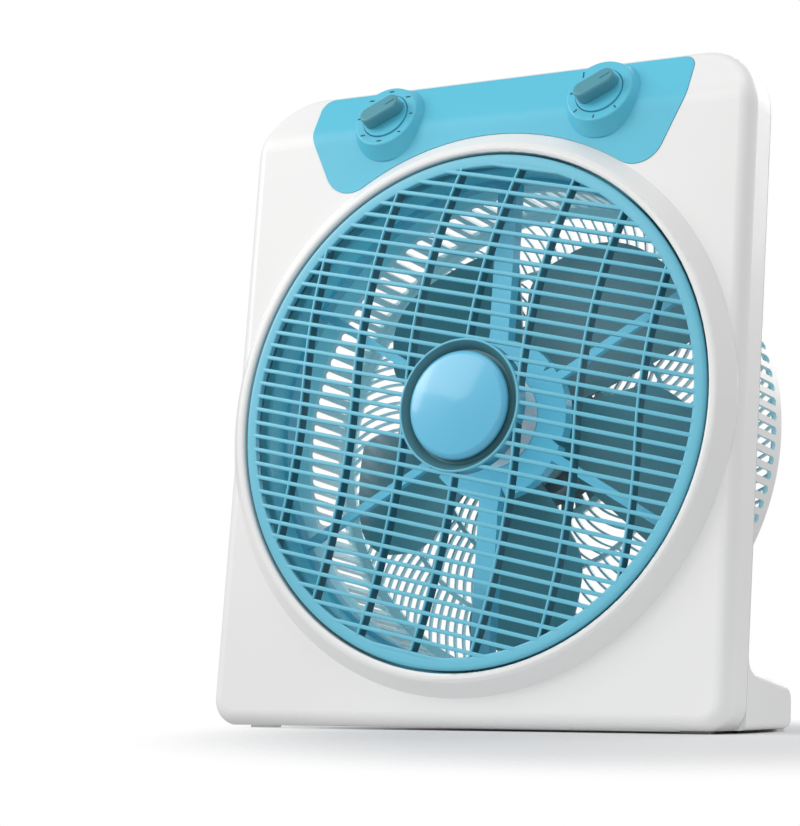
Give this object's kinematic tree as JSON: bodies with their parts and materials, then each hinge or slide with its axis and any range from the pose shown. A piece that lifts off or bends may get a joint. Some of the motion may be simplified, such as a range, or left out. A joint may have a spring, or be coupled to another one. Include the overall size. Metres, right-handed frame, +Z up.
{
  "type": "box fan",
  "caption": "Free-standing box fan with a turning round louvre in front, a drum-shaped rear guard, control dials on top and a folding carry handle.",
  "frame": {"origin": "centre of the bounding box's underside, on the floor under the fan", "axes": "+Z up, -Y out of the front (louvre) side, +X to the right of a person facing the front"},
  "size_m": [0.366, 0.1633, 0.4245],
  "materials": {
    "white_plastic": "glossy moulded ABS",
    "blue_plastic": "satin moulded plastic, light blue",
    "cap_blue": "glossy moulded plastic, light blue",
    "teal_plastic": "satin moulded plastic, dark teal",
    "knob_teal": "satin moulded plastic, mid teal",
    "zinc_steel": "zinc plated",
    "bright_steel": "ground steel",
    "rotor_steel": "laminated electrical steel",
    "bronze": "sintered bronze",
    "copper_wire": "enamelled copper wire",
    "motor_metal": "pressed steel, grey",
    "black_plastic": "moulded, matt black",
    "pad_rubber": "soft cream elastomer"
  },
  "bodies": {
    "casing": {"front_shell": "white_plastic", "rear_shell": "white_plastic", "control_panel": "blue_plastic", "inner_duct": "blue_plastic", "front_spider": "blue_plastic", "rear_guard": "white_plastic", "handle_pins": "bright_steel", "louvre_motor": "zinc_steel", "louvre_motor_screws": "zinc_steel", "motor_bearings": "bronze", "stator_core": "rotor_steel", "stator_coils": "copper_wire", "motor_front_bell": "motor_metal", "motor_rear_bell": "motor_metal", "motor_screws": "zinc_steel", "motor_mount_screws": "zinc_steel", "timer_mechanism": "black_plastic", "speed_switch": "black_plastic", "control_nuts": "zinc_steel", "cord_gland": "black_plastic", "capacitor": "black_plastic", "capacitor_screw": "zinc_steel", "front_foot_pads": "pad_rubber", "rear_foot_pads": "pad_rubber", "shell_screws": "zinc_steel", "duct_screws": "zinc_steel", "guard_screws": "zinc_steel"},
    "louvre": {"louvre_grille": "blue_plastic", "hub_bezel": "teal_plastic", "louvre_shaft": "bright_steel"},
    "centre_cap": {"hub_cap": "cap_blue"},
    "fan_rotor": {"impeller": "teal_plastic", "impeller_nut": "teal_plastic", "motor_shaft": "bright_steel", "rotor": "rotor_steel"},
    "timer_dial": {"timer_knob": "knob_teal", "timer_knob_grip": "knob_teal", "timer_shaft": "bright_steel"},
    "speed_dial": {"speed_knob": "knob_teal", "speed_knob_grip": "knob_teal", "speed_shaft": "bright_steel"},
    "handle": {"carry_handle": "white_plastic"}
  },
  "joints": [
    {"name": "louvre_spin", "type": "hinge", "parent": "casing", "child": "louvre", "pos_m": [0, -0.04967, 0.1993], "axis": [0, -0.9919, 0.1271], "continuous": true},
    {"name": "cap_push_pull", "type": "slide", "parent": "louvre", "child": "centre_cap", "axis": [0, -0.9919, 0.1271], "range_m": [0, 0.0035]},
    {"name": "fan_spin", "type": "hinge", "parent": "casing", "child": "fan_rotor", "pos_m": [0, -0.04967, 0.1993], "axis": [0, -0.9919, 0.1271], "continuous": true},
    {"name": "timer_turn", "type": "hinge", "parent": "casing", "child": "timer_dial", "pos_m": [-0.0788, -0.02727, 0.39938], "axis": [0, -0.9078, 0.4195], "range_deg": [-270, 45]},
    {"name": "speed_turn", "type": "hinge", "parent": "casing", "child": "speed_dial", "pos_m": [0.0788, -0.02727, 0.39938], "axis": [0, -0.9078, 0.4195], "range_deg": [-90, 90]},
    {"name": "handle_fold", "type": "hinge", "parent": "casing", "child": "handle", "pos_m": [0, 0.02263, 0.41748], "axis": [1, 0, 0], "range_deg": [0, 100]}
  ]
}
